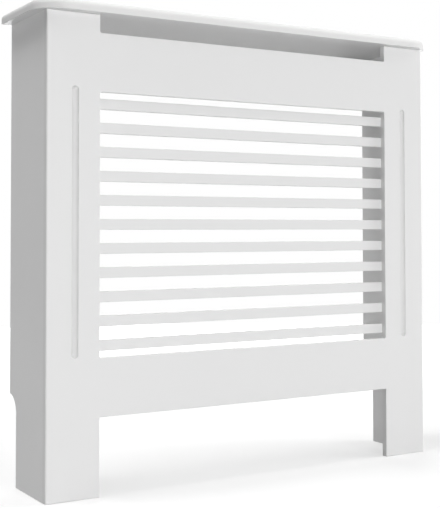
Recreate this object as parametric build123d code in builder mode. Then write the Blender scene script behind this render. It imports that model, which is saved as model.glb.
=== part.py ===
from build123d import *
import os

# Radiator cover cabinet of painted board: a routed front with slats behind its window, two side
# panels cut out for the skirting board, a rounded top shelf and a rail that ties the back.
# Millimetres. X is the width, seen from the front with +X to the right. The front faces -Y, the
# wall is at +Y, and Z is up. The origin is on the floor, under the middle of the overall box.

# ---------------------------------------------------------------- driving dimensions: overall
cover_height = 820.0  # floor to the top of the shelf
front_width = 790.0  # across the front board and both sides
body_depth = 172.0  # face of the front board to the back edge of the sides
shelf_overhang = 18.0  # shelf past the front board and past both sides

# ---------------------------------------------------------------- driving dimensions: boards
shelf_thick = 18.0
side_thick = 18.0
front_thick = 12.0
rail_thick = 15.0
rail_height = 60.0
arris = 1.0  # eased edge of every painted board
front_round_over = 3.0  # outer upright edges of the front board
shelf_round_over = 10.0  # top edge of the shelf
shelf_corner_radius = 50.0  # front corners of the shelf, seen from above

# ---------------------------------------------------------------- driving dimensions: front board
stile_width = 94.0  # solid board on each side of the window, and each leg
leg_height = 131.0  # floor to the lower edge of the bottom rail
window_bottom = 229.0  # floor to the lower edge of the window
window_height = 443.0
vent_height = 31.0  # warm-air slot under the shelf
router_radius = 3.0  # inner corners of the window and the vent
groove_lip = 0.8  # eased edge of a groove
groove_inset = 50.0  # outer edge of the board to the middle of a groove
groove_width = 12.0
groove_depth = 6.0
groove_bottom = 231.0
groove_length = 448.0

# ---------------------------------------------------------------- driving dimensions: slats
slat_count = 11
slat_height = 18.0
slat_thick = 10.0
slat_lap = 25.0  # slat end behind the stile
slat_margin = 10.0  # gap from the window's edge to the first and to the last slat

# ---------------------------------------------------------------- driving dimensions: skirting cut
skirting_cut_depth = 32.0  # also the radius of the arch at the top of the cut
skirting_cut_height = 157.0

# ---------------------------------------------------------------- driving dimensions: fasteners
wood_clearance = 0.05  # radial, round what is pressed or screwed into board
cam_radius = 7.5
cam_height = 12.0
cam_axis_depth = 7.5  # face of the cam nut to the middle of its bolt
cam_reach = 34.0  # joint face to the middle of the cam nut
cam_slot_length = 10.0
cam_slot_width = 1.6
cam_slot_depth = 1.5
bolt_thread_radius = 3.0
bolt_thread_length = 8.0
bolt_shank_radius = 2.5
bolt_head_radius = 3.5
bolt_head_length = 3.0
bolt_way_radius = 4.0  # hole along the board's edge to the cam nut
dowel_radius = 3.0
dowel_length = 30.0
dowel_face_depth = 8.0  # length of a dowel in the face of a board
dowel_chamfer = 1.0
bore_spare = 0.5  # left empty past the end of a dowel, bolt or screw
screw_radius = 1.75
screw_head_radius = 3.5
slat_screw_length = 16.0
bracket_screw_length = 12.0
screw_point_length = 3.0
pan_head_height = 2.0
pan_head_round = 1.2
recess_length = 3.4
recess_width = 0.8
recess_depth = 1.0

# ---------------------------------------------------------------- driving dimensions: joints
side_cam_inset = 80.0  # floor or top of the panel to the outer cams of the front joint
side_dowel_inset = 130.0  # floor or top of the panel to the dowels of the front joint
shelf_cam_inset = 36.0  # front and back edge of the side to the cams of the shelf joint
rail_dowel_spacing = 36.0
cam_hole_clearance = 0.1

# ---------------------------------------------------------------- driving dimensions: wall brackets
bracket_leg = 40.0
bracket_height = 20.0
bracket_thick = 2.0
bracket_bend_radius = 1.5
bracket_drop = 5.0  # under the rail
bracket_screw_spacing = 18.0
bracket_screw_inset = 9.0  # back edge of the side to the nearer screw
wall_hole_radius = 2.75
wall_hole_inset = 25.0  # inner face of the side to the wall hole

# ---------------------------------------------------------------- dependent places
panel_height = cover_height - shelf_thick
overall_depth = body_depth + shelf_overhang
front_y = shelf_overhang - overall_depth / 2
joint_y = front_y + front_thick
back_y = overall_depth / 2
inner_x = front_width / 2 - side_thick
window_width = front_width - 2 * stile_width
slat_back_y = joint_y + slat_thick
slat_pitch = (window_height - 2 * slat_margin - slat_height) / (slat_count - 1)
top_slat_z = window_bottom + window_height - slat_margin - slat_height / 2
slat_screw_x = window_width / 2 + slat_lap / 2
rail_face_y = back_y - rail_thick
rail_middle_z = panel_height - rail_height / 2
bracket_middle_z = panel_height - rail_height - bracket_drop - bracket_height / 2
side_middle_y = (joint_y + back_y) / 2

left = -1
right = 1
LOW_MIDDLE = (Align.CENTER, Align.MIN)
TO_BACK = (0, 1, 0)
TO_FRONT = (0, -1, 0)
UP = (0, 0, 1)
DOWN = (0, 0, -1)

os.makedirs("parts", exist_ok=True)


def outward(side):
    """Direction from the middle of the cover to one side."""
    return (side, 0, 0)


def save(name, piece):
    """Label one finished piece and write it."""
    piece.label = name
    export_step(piece, f"parts/{name}.step")


# ---------------------------------------------------------------- joint places
# Each plane lies on the joint between two boards, and its Z runs into the edge of the second one.

cam_heights = (side_cam_inset, panel_height / 2, panel_height - side_cam_inset)
dowel_heights = (side_dowel_inset, panel_height - side_dowel_inset)
shelf_cam_ys = (joint_y + shelf_cam_inset, back_y - shelf_cam_inset)
rail_dowel_zs = (rail_middle_z - rail_dowel_spacing / 2, rail_middle_z + rail_dowel_spacing / 2)
bolt_x = inner_x + cam_axis_depth
side_middle_x = inner_x + side_thick / 2
stile_middle_x = (front_width - stile_width) / 2


def front_bolts(side):
    return [Plane((side * bolt_x, joint_y, z), z_dir=TO_BACK) for z in cam_heights]


def front_dowels(side):
    return [Plane((side * side_middle_x, joint_y, z), z_dir=TO_BACK) for z in dowel_heights]


def shelf_bolts(side):
    return [Plane((side * bolt_x, y, panel_height), z_dir=DOWN) for y in shelf_cam_ys]


def shelf_side_dowels(side):
    return [Plane((side * side_middle_x, side_middle_y, panel_height), z_dir=DOWN)]


def shelf_front_dowels(side):
    stile_top = (side * stile_middle_x, front_y + front_thick / 2, panel_height)
    return [Plane(stile_top, z_dir=DOWN)]


def rail_bolts(side):
    rail_end = (side * inner_x, rail_face_y + cam_axis_depth, rail_middle_z)
    return [Plane(rail_end, z_dir=outward(-side))]


def rail_dowels(side):
    middle_y = back_y - rail_thick / 2
    return [Plane((side * inner_x, middle_y, z), z_dir=outward(-side)) for z in rail_dowel_zs]


# A cam nut's plane lies on the face that the nut is let into. Its X runs to the joint.


def side_cams(side):
    """Cam nuts in the inner face of one side panel."""
    to_front = [
        Plane((side * inner_x, joint_y + cam_reach, z), x_dir=TO_FRONT, z_dir=outward(-side))
        for z in cam_heights
    ]
    to_shelf = [
        Plane((side * inner_x, y, panel_height - cam_reach), x_dir=UP, z_dir=outward(-side))
        for y in shelf_cam_ys
    ]
    return to_front + to_shelf


def rail_cams(side):
    """Cam nut in the face of the rail, near one end."""
    middle = (side * (inner_x - cam_reach), rail_face_y, rail_middle_z)
    return [Plane(middle, x_dir=outward(side), z_dir=TO_FRONT)]


def both(places):
    return places(left) + places(right)


def slat_heights():
    return [top_slat_z - row * slat_pitch for row in range(slat_count)]


def slat_screws_at(z, face_y):
    """Planes at both ends of the slat at height z, on the face at face_y."""
    return [Plane((side * slat_screw_x, face_y, z), z_dir=TO_BACK) for side in (left, right)]


def bracket_screws_at(side, plate=0.0):
    """Planes on the side's inner face, or on the bracket's plate that covers it."""
    first_y = back_y - bracket_thick - bracket_screw_inset
    return [
        Plane((side * (inner_x - plate), y, bracket_middle_z), z_dir=outward(-side))
        for y in (first_y, first_y - bracket_screw_spacing)
    ]


# ---------------------------------------------------------------- bores


def bolt_thread_bores(places):
    """Blind holes in a board's face for the threads of cam bolts."""
    with Locations(*places):
        Hole(bolt_thread_radius + wood_clearance, bolt_thread_length + bore_spare)


def bolt_way_bores(places):
    """Holes along a board from its edge to the cam nuts."""
    with Locations(*[-place for place in places]):
        Hole(bolt_way_radius, cam_reach)


def cam_pockets(places):
    """Round pockets for cam nuts."""
    with Locations(*places):
        Hole(cam_radius + cam_hole_clearance, cam_height + bore_spare)


def dowel_face_bores(places):
    """Blind holes in a board's face for dowels."""
    with Locations(*places):
        Hole(dowel_radius + wood_clearance, dowel_face_depth + bore_spare)


def dowel_edge_bores(places):
    """Blind holes in a board's edge for dowels."""
    with Locations(*[-place for place in places]):
        Hole(dowel_radius + wood_clearance, dowel_length - dowel_face_depth + bore_spare)


# ---------------------------------------------------------------- top shelf

shelf_width = front_width + 2 * shelf_overhang

with BuildPart() as top_shelf:
    with BuildSketch(Plane.XY.offset(panel_height)):
        with BuildLine():
            front_left = (-shelf_width / 2, -overall_depth / 2)
            front_right = (shelf_width / 2, -overall_depth / 2)
            back_left = (-shelf_width / 2, back_y)
            back_right = (shelf_width / 2, back_y)
            FilletPolyline(back_left, front_left, front_right, back_right, radius=shelf_corner_radius)
            Line(back_right, back_left)
        make_face()
    extrude(amount=shelf_thick)
    upper_edges = top_shelf.faces().sort_by(Axis.Z)[-1].edges().sort_by(Axis.Y)[:-1]
    fillet(upper_edges, shelf_round_over)
    lower_edges = top_shelf.faces().sort_by(Axis.Z)[0].edges().sort_by(Axis.Y)[:-1]
    fillet(lower_edges, arris)
    bolt_thread_bores(both(shelf_bolts))
    dowel_face_bores(both(shelf_side_dowels) + both(shelf_front_dowels))

save("top_shelf", top_shelf.part)

# ---------------------------------------------------------------- front board

# A ball-nosed cutter of this radius leaves a groove of the stated width and depth.
cutter_radius = (groove_width**2 / 4 + groove_depth**2) / (2 * groove_depth)
cutter_y = front_y + groove_depth - cutter_radius
groove_run = groove_length - groove_width
groove_start_z = groove_bottom + groove_width / 2
groove_x = front_width / 2 - groove_inset

with BuildPart() as front_board:
    with BuildSketch(Plane.XZ.offset(-front_y)):
        Rectangle(front_width, panel_height, align=LOW_MIDDLE)
        with Locations((0, window_bottom + window_height / 2)):
            RectangleRounded(window_width, window_height, router_radius, mode=Mode.SUBTRACT)
        with Locations((0, panel_height)):
            RectangleRounded(window_width, 2 * vent_height, router_radius, mode=Mode.SUBTRACT)
        Rectangle(window_width, leg_height, align=LOW_MIDDLE, mode=Mode.SUBTRACT)
    extrude(amount=-front_thick)
    upright_edges = front_board.faces().sort_by(Axis.Y)[0].edges().filter_by(Axis.Z)
    fillet(upright_edges.group_by(Axis.X)[0] + upright_edges.group_by(Axis.X)[-1], front_round_over)
    fillet(front_board.faces().sort_by(Axis.Y)[0].edges(), arris)
    for side in (left, right):
        with Locations((side * groove_x, cutter_y, groove_start_z + groove_run / 2)):
            Cylinder(cutter_radius, groove_run, mode=Mode.SUBTRACT)
        with Locations(
            (side * groove_x, cutter_y, groove_start_z),
            (side * groove_x, cutter_y, groove_start_z + groove_run),
        ):
            Sphere(cutter_radius, mode=Mode.SUBTRACT)
    groove_edges = [
        edge
        for edge in front_board.faces().sort_by(Axis.Y)[0].edges()
        if abs(abs(edge.center().X) - groove_x) < groove_width
        and groove_bottom - arris < edge.center().Z < groove_bottom + groove_length + arris
    ]
    fillet(groove_edges, groove_lip)
    bolt_thread_bores(both(front_bolts))
    dowel_face_bores(both(front_dowels))
    dowel_edge_bores(both(shelf_front_dowels))
    for z in slat_heights():
        with Locations(*slat_screws_at(z, joint_y)):
            Hole(screw_radius + wood_clearance, slat_screw_length - slat_thick + bore_spare)

save("front_board", front_board.part)

# ---------------------------------------------------------------- side panels

cut_front_y = back_y - skirting_cut_depth
arch_z = skirting_cut_height - skirting_cut_depth

with BuildPart() as side_panel_left:
    with BuildSketch(Plane.YZ.offset(-front_width / 2)):
        with BuildLine():
            Polyline((joint_y, panel_height), (joint_y, 0), (cut_front_y, 0), (cut_front_y, arch_z))
            CenterArc((back_y, arch_z), skirting_cut_depth, 180, -90)
            Polyline((back_y, skirting_cut_height), (back_y, panel_height), (joint_y, panel_height))
        make_face()
    extrude(amount=side_thick)
    outer_edges = side_panel_left.faces().sort_by(Axis.X)[0].edges()
    shown_edges = [
        edge
        for edge in outer_edges
        if edge.center().Y > joint_y + arris and edge.center().Z < panel_height - arris
    ]
    fillet(shown_edges, arris)
    bolt_way_bores(front_bolts(left) + shelf_bolts(left))
    cam_pockets(side_cams(left))
    dowel_edge_bores(front_dowels(left) + shelf_side_dowels(left))
    bolt_thread_bores(rail_bolts(left))
    dowel_face_bores(rail_dowels(left))
    with Locations(*bracket_screws_at(left)):
        Hole(screw_radius + wood_clearance, bracket_screw_length - bracket_thick + bore_spare)

save("side_panel_left", side_panel_left.part)

with BuildPart() as side_panel_right:
    mirror(side_panel_left.part, about=Plane.YZ)

save("side_panel_right", side_panel_right.part)

# ---------------------------------------------------------------- rear top rail

with BuildPart() as rear_top_rail:
    with BuildSketch(Plane.XY.offset(panel_height - rail_height)):
        with Locations((0, rail_face_y)):
            Rectangle(2 * inner_x, rail_thick, align=LOW_MIDDLE)
    extrude(amount=rail_height)
    bolt_way_bores(both(rail_bolts))
    cam_pockets(both(rail_cams))
    dowel_edge_bores(both(rail_dowels))

save("rear_top_rail", rear_top_rail.part)

# ---------------------------------------------------------------- slats

slat_length = window_width + 2 * slat_lap

for row, z in enumerate(slat_heights(), start=1):
    with BuildPart() as slat:
        with BuildSketch(Plane.YZ.offset(-slat_length / 2)):
            with Locations((joint_y + slat_thick / 2, z)):
                Rectangle(slat_thick, slat_height)
        extrude(amount=slat_length)
        fillet(slat.edges().filter_by(Axis.X), arris)
        with Locations(*slat_screws_at(z, slat_back_y)):
            CounterSinkHole(
                screw_radius + wood_clearance,
                screw_head_radius + wood_clearance,
                depth=slat_thick,
                counter_sink_angle=90,
            )
    save(f"slat_{row:02d}", slat.part)

# ---------------------------------------------------------------- cam nuts and bolts

head_room = bolt_head_radius + bore_spare
neck_room = bolt_shank_radius + bore_spare

with BuildPart() as cam_nut:
    Cylinder(cam_radius, cam_height, align=(Align.CENTER, Align.CENTER, Align.MAX))
    with BuildSketch(Plane.XY.offset(-cam_height)):
        Rectangle(2 * head_room, 2 * head_room)
        Rectangle(cam_radius + head_room, 2 * neck_room, align=(Align.MIN, Align.CENTER))
    extrude(amount=cam_height - cam_axis_depth + head_room, mode=Mode.SUBTRACT)
    with BuildSketch():
        Rectangle(cam_slot_length, cam_slot_width)
        Rectangle(cam_slot_width, cam_slot_length)
    extrude(amount=-cam_slot_depth, mode=Mode.SUBTRACT)

with BuildPart() as cam_nuts:
    with Locations(*(both(side_cams) + both(rail_cams))):
        add(cam_nut.part)

save("cam_nuts", cam_nuts.part)

bolt_head_start = cam_reach - bolt_head_length / 2
thread_point = bolt_thread_radius / 2

with BuildPart() as cam_bolt:
    with BuildSketch(Plane.XZ):
        with BuildLine():
            Polyline(
                (0, -bolt_thread_length),
                (bolt_thread_radius - thread_point, -bolt_thread_length),
                (bolt_thread_radius, thread_point - bolt_thread_length),
                (bolt_thread_radius, 0),
                (bolt_shank_radius, 0),
                (bolt_shank_radius, bolt_head_start),
                (bolt_head_radius, bolt_head_start),
                (bolt_head_radius, bolt_head_start + bolt_head_length),
                (0, bolt_head_start + bolt_head_length),
                close=True,
            )
        make_face()
    revolve(axis=Axis.Z)

with BuildPart() as cam_bolts:
    with Locations(*(both(front_bolts) + both(shelf_bolts) + both(rail_bolts))):
        add(cam_bolt.part)

save("cam_bolts", cam_bolts.part)

# ---------------------------------------------------------------- dowels

with BuildPart() as dowel:
    with BuildSketch(Plane.XY.offset(-dowel_face_depth)):
        Circle(dowel_radius)
    extrude(amount=dowel_length)
    chamfer(dowel.edges().filter_by(GeomType.CIRCLE), dowel_chamfer)

dowel_places = both(front_dowels) + both(shelf_side_dowels) + both(shelf_front_dowels)

with BuildPart() as wood_dowels:
    with Locations(*(dowel_places + both(rail_dowels))):
        add(dowel.part)

save("wood_dowels", wood_dowels.part)

# ---------------------------------------------------------------- screws


def cross_recess(top_z):
    """Cut a cross for the driver into the screw's head, whose top is at top_z."""
    with BuildSketch(Plane.XY.offset(top_z)) as cross:
        Rectangle(recess_length, recess_width)
        Rectangle(recess_width, recess_length)
    extrude(cross.sketch, amount=-recess_depth, mode=Mode.SUBTRACT)


with BuildPart() as slat_screw:
    with BuildSketch(Plane.XZ):
        with BuildLine():
            Polyline(
                (0, -slat_screw_length),
                (screw_radius, screw_point_length - slat_screw_length),
                (screw_radius, screw_radius - screw_head_radius),
                (screw_head_radius, 0),
                (0, 0),
                close=True,
            )
        make_face()
    revolve(axis=Axis.Z)
    cross_recess(0)

with BuildPart() as slat_screws:
    for z in slat_heights():
        with Locations(*slat_screws_at(z, slat_back_y)):
            add(slat_screw.part)

save("slat_screws", slat_screws.part)

with BuildPart() as bracket_screw:
    with BuildSketch(Plane.XZ):
        with BuildLine():
            Polyline(
                (0, -bracket_screw_length),
                (screw_radius, screw_point_length - bracket_screw_length),
                (screw_radius, 0),
                (screw_head_radius, 0),
                (screw_head_radius, pan_head_height),
                (0, pan_head_height),
                close=True,
            )
        make_face()
    revolve(axis=Axis.Z)
    fillet(bracket_screw.edges().sort_by(Axis.Z)[-1], pan_head_round)
    cross_recess(pan_head_height)

with BuildPart() as bracket_screws:
    for side in (left, right):
        with Locations(*bracket_screws_at(side, bracket_thick)):
            add(bracket_screw.part)

save("bracket_screws", bracket_screws.part)

# ---------------------------------------------------------------- wall brackets

plate_x = inner_x - bracket_thick
wall_plate_y = back_y - bracket_thick

with BuildPart() as wall_bracket_left:
    with BuildSketch(Plane.XY.offset(bracket_middle_z - bracket_height / 2)):
        with BuildLine():
            FilletPolyline(
                (-inner_x, back_y - bracket_leg),
                (-inner_x, back_y),
                (bracket_leg - inner_x, back_y),
                radius=bracket_bend_radius + bracket_thick,
            )
            Line((bracket_leg - inner_x, back_y), (bracket_leg - inner_x, wall_plate_y))
            FilletPolyline(
                (bracket_leg - inner_x, wall_plate_y),
                (-plate_x, wall_plate_y),
                (-plate_x, back_y - bracket_leg),
                radius=bracket_bend_radius,
            )
            Line((-plate_x, back_y - bracket_leg), (-inner_x, back_y - bracket_leg))
        make_face()
    extrude(amount=bracket_height)
    with Locations(*bracket_screws_at(left, bracket_thick)):
        Hole(screw_radius + cam_hole_clearance, bracket_thick)
    with Locations(Plane((wall_hole_inset - inner_x, back_y, bracket_middle_z), z_dir=TO_BACK)):
        Hole(wall_hole_radius, bracket_thick)

save("wall_bracket_left", wall_bracket_left.part)

with BuildPart() as wall_bracket_right:
    mirror(wall_bracket_left.part, about=Plane.YZ)

save("wall_bracket_right", wall_bracket_right.part)
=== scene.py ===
import math

import bmesh
import bpy
from bpy.props import FloatProperty, FloatVectorProperty, PointerProperty
from mathutils import Matrix, Vector


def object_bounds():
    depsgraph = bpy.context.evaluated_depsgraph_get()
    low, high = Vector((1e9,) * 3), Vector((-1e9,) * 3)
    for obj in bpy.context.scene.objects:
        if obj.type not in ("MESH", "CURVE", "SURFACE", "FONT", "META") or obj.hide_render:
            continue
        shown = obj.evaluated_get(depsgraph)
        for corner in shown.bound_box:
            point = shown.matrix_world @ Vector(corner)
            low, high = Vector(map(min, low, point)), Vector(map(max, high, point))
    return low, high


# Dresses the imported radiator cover: satin white paint on the boards, cast zinc and plated steel on
# the fittings, beech on the dowels, and a plain pale studio round it. Everything is in metres, in
# the frame of the solids: X is the width, the front faces -Y, the wall is at +Y, and Z is up.

bl_info = {
    "name": "Radiator Cover",
    "version": (1, 0, 0),
    "blender": (4, 5, 0),
    "location": "3D View > Sidebar > Radiator Cover",
    "description": "Paints the boards of a radiator cover, finishes its fittings and sets the stage",
    "category": "Object",
}

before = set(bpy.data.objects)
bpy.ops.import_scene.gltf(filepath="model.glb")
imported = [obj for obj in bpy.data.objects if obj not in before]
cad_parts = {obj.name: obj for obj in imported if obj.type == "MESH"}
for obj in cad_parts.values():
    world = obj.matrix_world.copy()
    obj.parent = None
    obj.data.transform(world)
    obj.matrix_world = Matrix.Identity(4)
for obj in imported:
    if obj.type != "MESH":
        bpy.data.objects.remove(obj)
cad_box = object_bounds()

SLATS = sorted(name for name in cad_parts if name.removeprefix("slat_").isdigit())

# Size of the picture in pixels, and its pixel on the lens's axis, right of the middle and above it.
PICTURE_WIDTH = 440
PICTURE_HEIGHT = 508
AXIS_X = 263.205
AXIS_Y = 195.224
SENSOR_WIDTH_MM = 36.0
# How near and how far the camera sees.
NEAREST = 0.05
FARTHEST = 100.0

# Sides of the round floor, and how far it lies below the cover so that the two never touch.
FLOOR_SIDES = 96
FLOOR_DROP = 0.0003
# How far from the middle the floor's glow starts to rise, and how far inside the rim it is full.
GLOW_START = 0.8
GLOW_MARGIN = 0.5
WHITE = (1.0, 1.0, 1.0, 1.0)

# Name, azimuth and elevation in degrees, width in metres, and share of the light.
LAMPS = (
    ("front_lamp", 0, 5, 1.6, 0.495),
    ("left_lamp", -60, 5, 1.6, 0.122),
    ("right_lamp", 75, 8, 2.0, 0.204),
    ("back_lamp", 150, 6, 4.0, 0.640),
    ("right_upper_lamp", 60, 40, 2.4, 0.298),
    ("left_upper_lamp", -90, 74, 2.0, 0.500),
    ("back_upper_lamp", -120, 64, 2.0, 0.233),
)


# ------------------------------------------------------------------------------ settings


class CoverPaintSettings(bpy.types.PropertyGroup):
    """Colour and surface of the satin paint on the boards."""

    colour: FloatVectorProperty(
        name="Paint colour",
        description="White of the paint on the broad faces of the boards",
        subtype="COLOR",
        size=3,
        min=0.0,
        max=1.0,
        default=(0.788, 0.788, 0.788),
    )
    edge_colour: FloatVectorProperty(
        name="Edge colour",
        description="White of the paint on sawn and routed edges, which drink more of it",
        subtype="COLOR",
        size=3,
        min=0.0,
        max=1.0,
        default=(0.776, 0.775, 0.772),
    )
    roughness: FloatProperty(
        name="Face roughness",
        description="Mean roughness of the paint on the broad faces",
        subtype="FACTOR",
        min=0.05,
        max=1.0,
        default=0.40,
    )
    edge_roughness: FloatProperty(
        name="Edge roughness",
        description="Mean roughness of the paint on sawn and routed edges",
        subtype="FACTOR",
        min=0.05,
        max=1.0,
        default=0.52,
    )
    peel_spacing: FloatProperty(
        name="Orange peel spacing",
        description="Distance between the dimples that spraying leaves",
        subtype="DISTANCE",
        unit="LENGTH",
        min=0.0005,
        max=0.02,
        default=0.0026,
    )
    peel_depth: FloatProperty(
        name="Orange peel depth",
        description="Height of the dimples that spraying leaves",
        subtype="DISTANCE",
        unit="LENGTH",
        min=0.0,
        max=0.0005,
        default=0.00003,
    )


class CoverFittingSettings(bpy.types.PropertyGroup):
    """Colours of the parts that aren't painted."""

    zinc_colour: FloatVectorProperty(
        name="Cast zinc",
        description="Colour of the cam nuts",
        subtype="COLOR",
        size=3,
        min=0.0,
        max=1.0,
        default=(0.56, 0.57, 0.59),
    )
    steel_colour: FloatVectorProperty(
        name="Plated steel",
        description="Colour of the bolts, the screws and the wall brackets",
        subtype="COLOR",
        size=3,
        min=0.0,
        max=1.0,
        default=(0.50, 0.51, 0.53),
    )
    beech_colour: FloatVectorProperty(
        name="Beech",
        description="Colour of the dowels between their growth lines",
        subtype="COLOR",
        size=3,
        min=0.0,
        max=1.0,
        default=(0.62, 0.42, 0.25),
    )


class CoverStageSettings(bpy.types.PropertyGroup):
    """Floor, light and camera."""

    floor_colour: FloatVectorProperty(
        name="Floor colour",
        description="Colour of the plain floor",
        subtype="COLOR",
        size=3,
        min=0.0,
        max=1.0,
        default=(0.52, 0.52, 0.52),
    )
    floor_radius: FloatProperty(
        name="Floor radius",
        description="How far the floor reaches from the middle of the cover",
        subtype="DISTANCE",
        unit="LENGTH",
        min=2.0,
        default=3.2,
    )
    floor_glow: FloatProperty(
        name="Floor glow",
        description="Brightness that the eye sees in the floor near the cover and that lights nothing",
        subtype="FACTOR",
        min=0.0,
        max=1.0,
        default=0.48,
    )
    sky_strength: FloatProperty(
        name="Sky strength",
        description="Light from all round the stage",
        min=0.0,
        default=0.01,
    )
    lamp_distance: FloatProperty(
        name="Lamp distance",
        description="How far the lamps hang from the middle of the cover",
        subtype="DISTANCE",
        unit="LENGTH",
        min=2.0,
        default=5.0,
    )
    lamp_light: FloatProperty(
        name="Lamp light",
        description="Light of all lamps together, where 1 shows the paint as it is",
        min=0.0,
        default=1.0,
    )
    lens: FloatProperty(
        name="Lens",
        description="Focal length on a 36 mm wide sensor, whose width is the picture's long side",
        subtype="DISTANCE_CAMERA",
        unit="CAMERA",
        min=1.0,
        default=77.111,
    )
    camera_place: FloatVectorProperty(
        name="Camera place",
        description="Where the camera stands",
        subtype="TRANSLATION",
        unit="LENGTH",
        size=3,
        default=(-1.032471, -1.755629, 0.437030),
    )
    camera_turn: FloatVectorProperty(
        name="Camera turn",
        description="Turn to the right of +Y, tilt above the horizon, and roll",
        subtype="EULER",
        unit="ROTATION",
        size=3,
        default=(math.radians(32.078), math.radians(1.932), math.radians(-0.160)),
    )


# ------------------------------------------------------------------------------ finishes


class Finish:
    """A material that is being mixed. Most calls add nodes and hand back their output."""

    def __init__(self, name):
        self.material = bpy.data.materials.new(name)
        self.material.use_nodes = True
        self.tree = self.material.node_tree
        self.tree.nodes.clear()
        self.skin = self.tree.nodes.new("ShaderNodeBsdfPrincipled")
        output = self.tree.nodes.new("ShaderNodeOutputMaterial")
        self.tree.links.new(self.skin.outputs["BSDF"], output.inputs["Surface"])

    def put(self, value, socket):
        """Links an output to a socket, or writes a plain value on it."""
        if isinstance(value, bpy.types.NodeSocket):
            self.tree.links.new(value, socket)
        elif socket.type == "RGBA":
            socket.default_value = (*value[:3], 1.0)
        else:
            socket.default_value = value

    def set(self, **values):
        """Sets sockets of the skin, spaces in their names written as _."""
        for name, value in values.items():
            self.put(value, self.skin.inputs[name.replace("_", " ")])

    def place(self, scale=(1.0, 1.0, 1.0)):
        """Places on the object in metres, times the scale along X, Y and Z."""
        coordinates = self.tree.nodes.new("ShaderNodeTexCoord")
        mapping = self.tree.nodes.new("ShaderNodeMapping")
        mapping.inputs["Scale"].default_value = scale
        self.tree.links.new(coordinates.outputs["Object"], mapping.inputs["Vector"])
        return mapping.outputs["Vector"]

    def cloud(self, place, scale, detail=2.0, roughness=0.5, distortion=0.0):
        """Soft noise between 0 and 1, with about scale blotches to a metre of place."""
        noise = self.tree.nodes.new("ShaderNodeTexNoise")
        noise.inputs["Scale"].default_value = scale
        noise.inputs["Detail"].default_value = detail
        noise.inputs["Roughness"].default_value = roughness
        noise.inputs["Distortion"].default_value = distortion
        self.tree.links.new(place, noise.inputs["Vector"])
        return noise.outputs["Fac"]

    def cells(self, place, scale):
        """Distance to the nearest of many scattered points, about scale of them to a metre."""
        voronoi = self.tree.nodes.new("ShaderNodeTexVoronoi")
        voronoi.feature = "SMOOTH_F1"
        voronoi.inputs["Scale"].default_value = scale
        voronoi.inputs["Smoothness"].default_value = 1.0
        self.tree.links.new(place, voronoi.inputs["Vector"])
        return voronoi.outputs["Distance"]

    def spread(self, value, low, high, start=0.0, end=1.0):
        """Maps start..end to low..high, and holds beyond."""
        ranged = self.tree.nodes.new("ShaderNodeMapRange")
        ranged.inputs["From Min"].default_value = start
        ranged.inputs["From Max"].default_value = end
        self.put(low, ranged.inputs["To Min"])
        self.put(high, ranged.inputs["To Max"])
        self.tree.links.new(value, ranged.inputs["Value"])
        return ranged.outputs["Result"]

    def maths(self, operation, first, second=0.0):
        """Works out one or two values by an operation of the maths node."""
        maths = self.tree.nodes.new("ShaderNodeMath")
        maths.operation = operation
        self.put(first, maths.inputs[0])
        self.put(second, maths.inputs[1])
        return maths.outputs["Value"]

    def blend(self, share, first, second):
        """Mixes two colours by a share between 0 and 1."""
        mixed = self.tree.nodes.new("ShaderNodeMix")
        mixed.data_type = "RGBA"
        self.put(share, mixed.inputs["Factor"])
        self.put(first, next(s for s in mixed.inputs if s.name == "A" and s.type == "RGBA"))
        self.put(second, next(s for s in mixed.inputs if s.name == "B" and s.type == "RGBA"))
        return next(s for s in mixed.outputs if s.type == "RGBA")

    def tint(self, share, colour, start, end):
        """The colour times start where the share is 0, and times end where it is 1."""
        return self.blend(share, shade(colour, start), shade(colour, end))

    def relief(self, height, depth, under=None):
        """Bump of the given depth in metres, over another bump."""
        bump = self.tree.nodes.new("ShaderNodeBump")
        bump.inputs["Strength"].default_value = 1.0
        bump.inputs["Distance"].default_value = depth
        self.tree.links.new(height, bump.inputs["Height"])
        if under is not None:
            self.tree.links.new(under, bump.inputs["Normal"])
        return bump.outputs["Normal"]

    def distance(self, place):
        """How far a place is from the origin."""
        length = self.tree.nodes.new("ShaderNodeVectorMath")
        length.operation = "LENGTH"
        self.tree.links.new(place, length.inputs[0])
        return length.outputs["Value"]

    def facing(self, axis):
        """1 where the surface faces along the axis, 0 where it is square to it."""
        coordinates = self.tree.nodes.new("ShaderNodeTexCoord")
        parts = self.tree.nodes.new("ShaderNodeSeparateXYZ")
        self.tree.links.new(coordinates.outputs["Normal"], parts.inputs["Vector"])
        along = self.maths("ABSOLUTE", parts.outputs[axis])
        return self.spread(along, low=0.0, high=1.0, start=0.55, end=0.95)


def shade(colour, share):
    """The colour made darker or lighter by a share of itself."""
    return tuple(channel * share for channel in colour)


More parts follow.
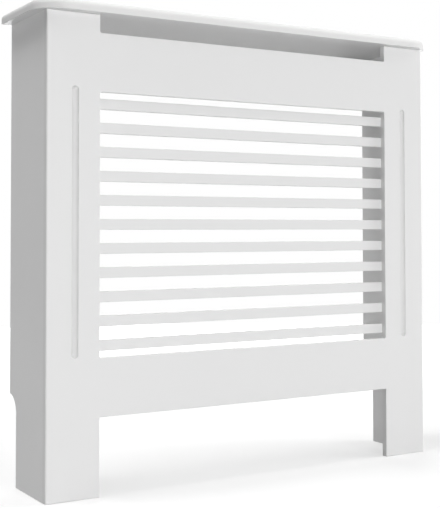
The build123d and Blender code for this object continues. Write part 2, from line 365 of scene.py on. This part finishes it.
def satin_paint(name, face_axis):
    """Sprayed satin paint on fibre board whose broad faces look along face_axis."""
    paint = bpy.context.scene.cover_paint
    finish = Finish(name)
    place = finish.place()
    broad_face = finish.facing(face_axis)
    cloudiness = finish.cloud(place, scale=5.0, detail=3.0)
    mist = finish.cloud(place, scale=900.0)
    fibres = finish.cloud(place, scale=1500.0, detail=4.0, roughness=0.7)
    dimples = finish.cells(place, scale=1.0 / paint.peel_spacing)
    waves = finish.cloud(place, scale=60.0)

    face_colour = finish.tint(cloudiness, paint.colour, start=0.99, end=1.01)
    edge_colour = finish.tint(fibres, paint.edge_colour, start=0.97, end=1.01)
    finish.set(Base_Color=finish.blend(broad_face, edge_colour, face_colour))

    face_stray = 0.05
    edge_stray = 0.08
    face_roughness = finish.spread(
        mist, paint.roughness - face_stray, paint.roughness + face_stray, start=0.3, end=0.7
    )
    edge_roughness = finish.spread(
        fibres, paint.edge_roughness - edge_stray, paint.edge_roughness + edge_stray
    )
    finish.set(Roughness=finish.spread(broad_face, edge_roughness, face_roughness))

    long_waves = finish.relief(waves, depth=2.0 * paint.peel_depth)
    peel = finish.relief(dimples, depth=paint.peel_depth, under=long_waves)
    fibre_share = finish.spread(broad_face, low=1.0, high=0.1)
    raised_fibres = finish.maths("MULTIPLY", fibres, fibre_share)
    finish.set(
        Normal=finish.relief(raised_fibres, depth=0.00002, under=peel),
        IOR=1.5,
        Specular_IOR_Level=0.25,
    )
    return finish.material


def cast_zinc():
    """Die-cast zinc with a fine skin and small pits."""
    colour = bpy.context.scene.cover_fittings.zinc_colour
    finish = Finish("cast_zinc")
    place = finish.place()
    skin = finish.cloud(place, scale=1800.0, detail=5.0, roughness=0.65)
    stain = finish.cloud(place, scale=220.0, detail=3.0)
    finish.set(
        Base_Color=finish.tint(stain, colour, start=0.82, end=1.08),
        Metallic=1.0,
        Roughness=finish.spread(skin, low=0.34, high=0.52, start=0.3, end=0.7),
        Normal=finish.relief(skin, depth=0.00003),
    )
    return finish.material


def plated_steel(name):
    """Zinc-plated steel with the faint cloudy lines of rolled sheet and wire."""
    colour = bpy.context.scene.cover_fittings.steel_colour
    finish = Finish(name)
    rolled = finish.cloud(finish.place(scale=(60.0, 60.0, 2200.0)), scale=1.0, detail=4.0)
    bloom = finish.cloud(finish.place(), scale=160.0, detail=4.0, roughness=0.6)
    finish.set(
        Base_Color=finish.tint(bloom, colour, start=0.88, end=1.06),
        Metallic=1.0,
        Roughness=finish.maths(
            "ADD",
            finish.spread(bloom, low=0.48, high=0.62),
            finish.spread(rolled, low=-0.03, high=0.05),
        ),
        Normal=finish.relief(rolled, depth=0.00001),
    )
    return finish.material


def beech():
    """Turned beech: pale brown with short darker flecks along the grain."""
    colour = bpy.context.scene.cover_fittings.beech_colour
    finish = Finish("beech")
    place = finish.place()
    flecks = finish.cloud(place, scale=700.0, detail=4.0, roughness=0.7, distortion=0.4)
    bands = finish.cloud(place, scale=120.0)
    fleck_share = finish.spread(flecks, low=0.0, high=1.0, start=0.42, end=0.66)
    grain = finish.tint(fleck_share, colour, start=1.0, end=0.62)
    finish.set(
        Base_Color=finish.blend(bands, grain, shade(colour, 1.08)),
        Roughness=finish.spread(flecks, low=0.55, high=0.72),
        Normal=finish.relief(flecks, depth=0.00004),
    )
    return finish.material


def dress(nodes, material):
    """Gives the solids of these names this finish as their only material."""
    for name in nodes:
        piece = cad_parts[name]
        piece.data.materials.clear()
        piece.data.materials.append(material)
        for polygon in piece.data.polygons:
            polygon.material_index = 0


# ------------------------------------------------------------------------------ pieces


class COVER_OT_shelf(bpy.types.Operator):
    """Paint the top shelf, whose broad faces are level"""

    bl_idname = "cover.shelf"
    bl_label = "Top shelf"

    def execute(self, context):
        dress(["top_shelf"], satin_paint("shelf_paint", "Z"))
        return {"FINISHED"}


class COVER_OT_front_board(bpy.types.Operator):
    """Paint the routed front board"""

    bl_idname = "cover.front_board"
    bl_label = "Front board"

    def execute(self, context):
        dress(["front_board"], satin_paint("front_board_paint", "Y"))
        return {"FINISHED"}


class COVER_OT_slats(bpy.types.Operator):
    """Paint the slats behind the window"""

    bl_idname = "cover.slats"
    bl_label = "Slats"

    def execute(self, context):
        dress(SLATS, satin_paint("slat_paint", "Y"))
        return {"FINISHED"}


class COVER_OT_side_panels(bpy.types.Operator):
    """Paint the two side panels"""

    bl_idname = "cover.side_panels"
    bl_label = "Side panels"

    def execute(self, context):
        panels = ["side_panel_left", "side_panel_right"]
        dress(panels, satin_paint("side_panel_paint", "X"))
        return {"FINISHED"}


class COVER_OT_rear_rail(bpy.types.Operator):
    """Paint the rail that ties the side panels at the back"""

    bl_idname = "cover.rear_rail"
    bl_label = "Rear rail"

    def execute(self, context):
        dress(["rear_top_rail"], satin_paint("rear_rail_paint", "Y"))
        return {"FINISHED"}


class COVER_OT_cam_nuts(bpy.types.Operator):
    """Finish the cast cam nuts"""

    bl_idname = "cover.cam_nuts"
    bl_label = "Cam nuts"

    def execute(self, context):
        dress(["cam_nuts"], cast_zinc())
        return {"FINISHED"}


class COVER_OT_bolts_and_screws(bpy.types.Operator):
    """Finish the cam bolts and all screws"""

    bl_idname = "cover.bolts_and_screws"
    bl_label = "Bolts and screws"

    def execute(self, context):
        fasteners = ["cam_bolts", "slat_screws", "bracket_screws"]
        dress(fasteners, plated_steel("plated_fasteners"))
        return {"FINISHED"}


class COVER_OT_wall_brackets(bpy.types.Operator):
    """Finish the two wall brackets"""

    bl_idname = "cover.wall_brackets"
    bl_label = "Wall brackets"

    def execute(self, context):
        brackets = ["wall_bracket_left", "wall_bracket_right"]
        dress(brackets, plated_steel("plated_brackets"))
        return {"FINISHED"}


class COVER_OT_dowels(bpy.types.Operator):
    """Finish the beech dowels in the joints"""

    bl_idname = "cover.dowels"
    bl_label = "Dowels"

    def execute(self, context):
        dress(["wood_dowels"], beech())
        return {"FINISHED"}


# ------------------------------------------------------------------------------ stage


def seen_ray(tree):
    """1 for what the eye sees, straight on or in metal and gloss, and 0 for light on the way."""
    path = tree.nodes.new("ShaderNodeLightPath")
    seen = path.outputs["Is Camera Ray"]
    for ray in ("Is Glossy Ray", "Is Transmission Ray"):
        either = tree.nodes.new("ShaderNodeMath")
        either.operation = "MAXIMUM"
        tree.links.new(seen, either.inputs[0])
        tree.links.new(path.outputs[ray], either.inputs[1])
        seen = either.outputs["Value"]
    return seen


def studio_floor(stage):
    """A round floor whose shadowless part shows as the white background."""
    sheet = bmesh.new()
    bmesh.ops.create_circle(sheet, cap_ends=True, segments=FLOOR_SIDES, radius=stage.floor_radius)
    mesh = bpy.data.meshes.new("studio_floor")
    sheet.to_mesh(mesh)
    sheet.free()
    floor = bpy.data.objects.new("studio_floor", mesh)
    floor.location.z = -FLOOR_DROP
    bpy.context.scene.collection.objects.link(floor)

    finish = Finish("studio_floor")
    place = finish.place()
    wash = finish.cloud(place, scale=1.5)
    finish.set(
        Base_Color=finish.tint(wash, stage.floor_colour, start=0.99, end=1.01),
        Roughness=0.9,
        Specular_IOR_Level=0.1,
    )
    away = finish.distance(place)
    glow_end = stage.floor_radius - GLOW_MARGIN
    glow = finish.spread(away, low=stage.floor_glow, high=1.0, start=GLOW_START, end=glow_end)
    finish.set(
        Emission_Color=WHITE,
        Emission_Strength=finish.maths("MULTIPLY", seen_ray(finish.tree), glow),
    )
    mesh.materials.append(finish.material)


def studio_sky(stage):
    """An even sky that shows as white to the eye, and in metal and gloss."""
    world = bpy.data.worlds.new("studio_sky")
    bpy.context.scene.world = world
    world.use_nodes = True
    tree = world.node_tree
    tree.nodes.clear()
    light = tree.nodes.new("ShaderNodeBackground")
    light.inputs["Strength"].default_value = stage.sky_strength
    light.inputs["Color"].default_value = WHITE
    seen = tree.nodes.new("ShaderNodeBackground")
    seen.inputs["Strength"].default_value = 1.0
    seen.inputs["Color"].default_value = WHITE
    chosen = tree.nodes.new("ShaderNodeMixShader")
    tree.links.new(seen_ray(tree), chosen.inputs["Fac"])
    tree.links.new(light.outputs["Background"], chosen.inputs[1])
    tree.links.new(seen.outputs["Background"], chosen.inputs[2])
    output = tree.nodes.new("ShaderNodeOutputWorld")
    tree.links.new(chosen.outputs["Shader"], output.inputs["Surface"])


def studio_lamp(stage, name, azimuth, elevation, width, share):
    """A wide round lamp that looks at the middle of the cover.

    Azimuth 0 is in front of the cover and -90 on its left. A share of 1 would light a surface
    that faces the lamp until its colour shows as it is written.
    """
    turn, rise = math.radians(azimuth), math.radians(elevation)
    towards = Vector(
        (math.sin(turn) * math.cos(rise), -math.cos(turn) * math.cos(rise), math.sin(rise))
    )
    lamp = bpy.data.lights.new(name, "AREA")
    lamp.shape = "DISK"
    lamp.size = width
    lamp.energy = share * stage.lamp_light * (math.pi * stage.lamp_distance) ** 2
    holder = bpy.data.objects.new(name, lamp)
    holder.location = (cad_box[0] + cad_box[1]) / 2 + towards * stage.lamp_distance
    holder.rotation_mode = "QUATERNION"
    holder.rotation_quaternion = (-towards).to_track_quat("-Z", "Y")
    bpy.context.scene.collection.objects.link(holder)


def studio_camera(stage):
    """The camera at the place and angle from which the cover is seen."""
    turn, tilt, roll = stage.camera_turn
    ahead = Vector(
        (math.sin(turn) * math.cos(tilt), math.cos(turn) * math.cos(tilt), math.sin(tilt))
    )
    level_right = Vector((math.cos(turn), -math.sin(turn), 0.0))
    level_up = level_right.cross(ahead)
    right = level_right * math.cos(roll) + level_up * math.sin(roll)
    up = level_up * math.cos(roll) - level_right * math.sin(roll)
    lens = bpy.data.cameras.new("studio_camera")
    lens.sensor_width = SENSOR_WIDTH_MM
    lens.lens = stage.lens
    lens.shift_x = (PICTURE_WIDTH / 2 - AXIS_X) / PICTURE_HEIGHT
    lens.shift_y = (AXIS_Y - PICTURE_HEIGHT / 2) / PICTURE_HEIGHT
    lens.clip_start = NEAREST
    lens.clip_end = FARTHEST
    camera = bpy.data.objects.new("studio_camera", lens)
    turned = Matrix((right, up, -ahead)).transposed()
    camera.matrix_world = Matrix.Translation(stage.camera_place) @ turned.to_4x4()
    bpy.context.scene.collection.objects.link(camera)
    bpy.context.scene.camera = camera


class COVER_OT_stage(bpy.types.Operator):
    """Lay the floor, hang the lamps and set the camera"""

    bl_idname = "cover.stage"
    bl_label = "Stage"

    def execute(self, context):
        stage = context.scene.cover_stage
        studio_floor(stage)
        studio_sky(stage)
        for lamp in LAMPS:
            studio_lamp(stage, *lamp)
        studio_camera(stage)
        context.scene.view_settings.view_transform = "Standard"
        return {"FINISHED"}


# ------------------------------------------------------------------------------ add-on

STEPS = (
    COVER_OT_shelf,
    COVER_OT_front_board,
    COVER_OT_slats,
    COVER_OT_side_panels,
    COVER_OT_rear_rail,
    COVER_OT_cam_nuts,
    COVER_OT_bolts_and_screws,
    COVER_OT_wall_brackets,
    COVER_OT_dowels,
    COVER_OT_stage,
)


class COVER_PT_sidebar(bpy.types.Panel):
    """Steps and settings of the radiator cover"""

    bl_idname = "COVER_PT_sidebar"
    bl_label = "Radiator Cover"
    bl_space_type = "VIEW_3D"
    bl_region_type = "UI"
    bl_category = "Radiator Cover"

    def draw(self, context):
        for step in STEPS:
            self.layout.operator(step.bl_idname)
        for group in ("cover_paint", "cover_fittings", "cover_stage"):
            settings = getattr(context.scene, group)
            box = self.layout.box()
            for name in settings.__annotations__:
                box.prop(settings, name)


CLASSES = (
    CoverPaintSettings,
    CoverFittingSettings,
    CoverStageSettings,
    *STEPS,
    COVER_PT_sidebar,
)


def register():
    for item in CLASSES:
        bpy.utils.register_class(item)
    bpy.types.Scene.cover_paint = PointerProperty(type=CoverPaintSettings)
    bpy.types.Scene.cover_fittings = PointerProperty(type=CoverFittingSettings)
    bpy.types.Scene.cover_stage = PointerProperty(type=CoverStageSettings)


def unregister():
    del bpy.types.Scene.cover_stage
    del bpy.types.Scene.cover_fittings
    del bpy.types.Scene.cover_paint
    for item in reversed(CLASSES):
        bpy.utils.unregister_class(item)


def main():
    """Registers the add-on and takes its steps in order."""
    register()
    bpy.ops.cover.shelf()
    bpy.ops.cover.front_board()
    bpy.ops.cover.slats()
    bpy.ops.cover.side_panels()
    bpy.ops.cover.rear_rail()
    bpy.ops.cover.cam_nuts()
    bpy.ops.cover.bolts_and_screws()
    bpy.ops.cover.wall_brackets()
    bpy.ops.cover.dowels()
    bpy.ops.cover.stage()


if __name__ == "__main__":
    main()
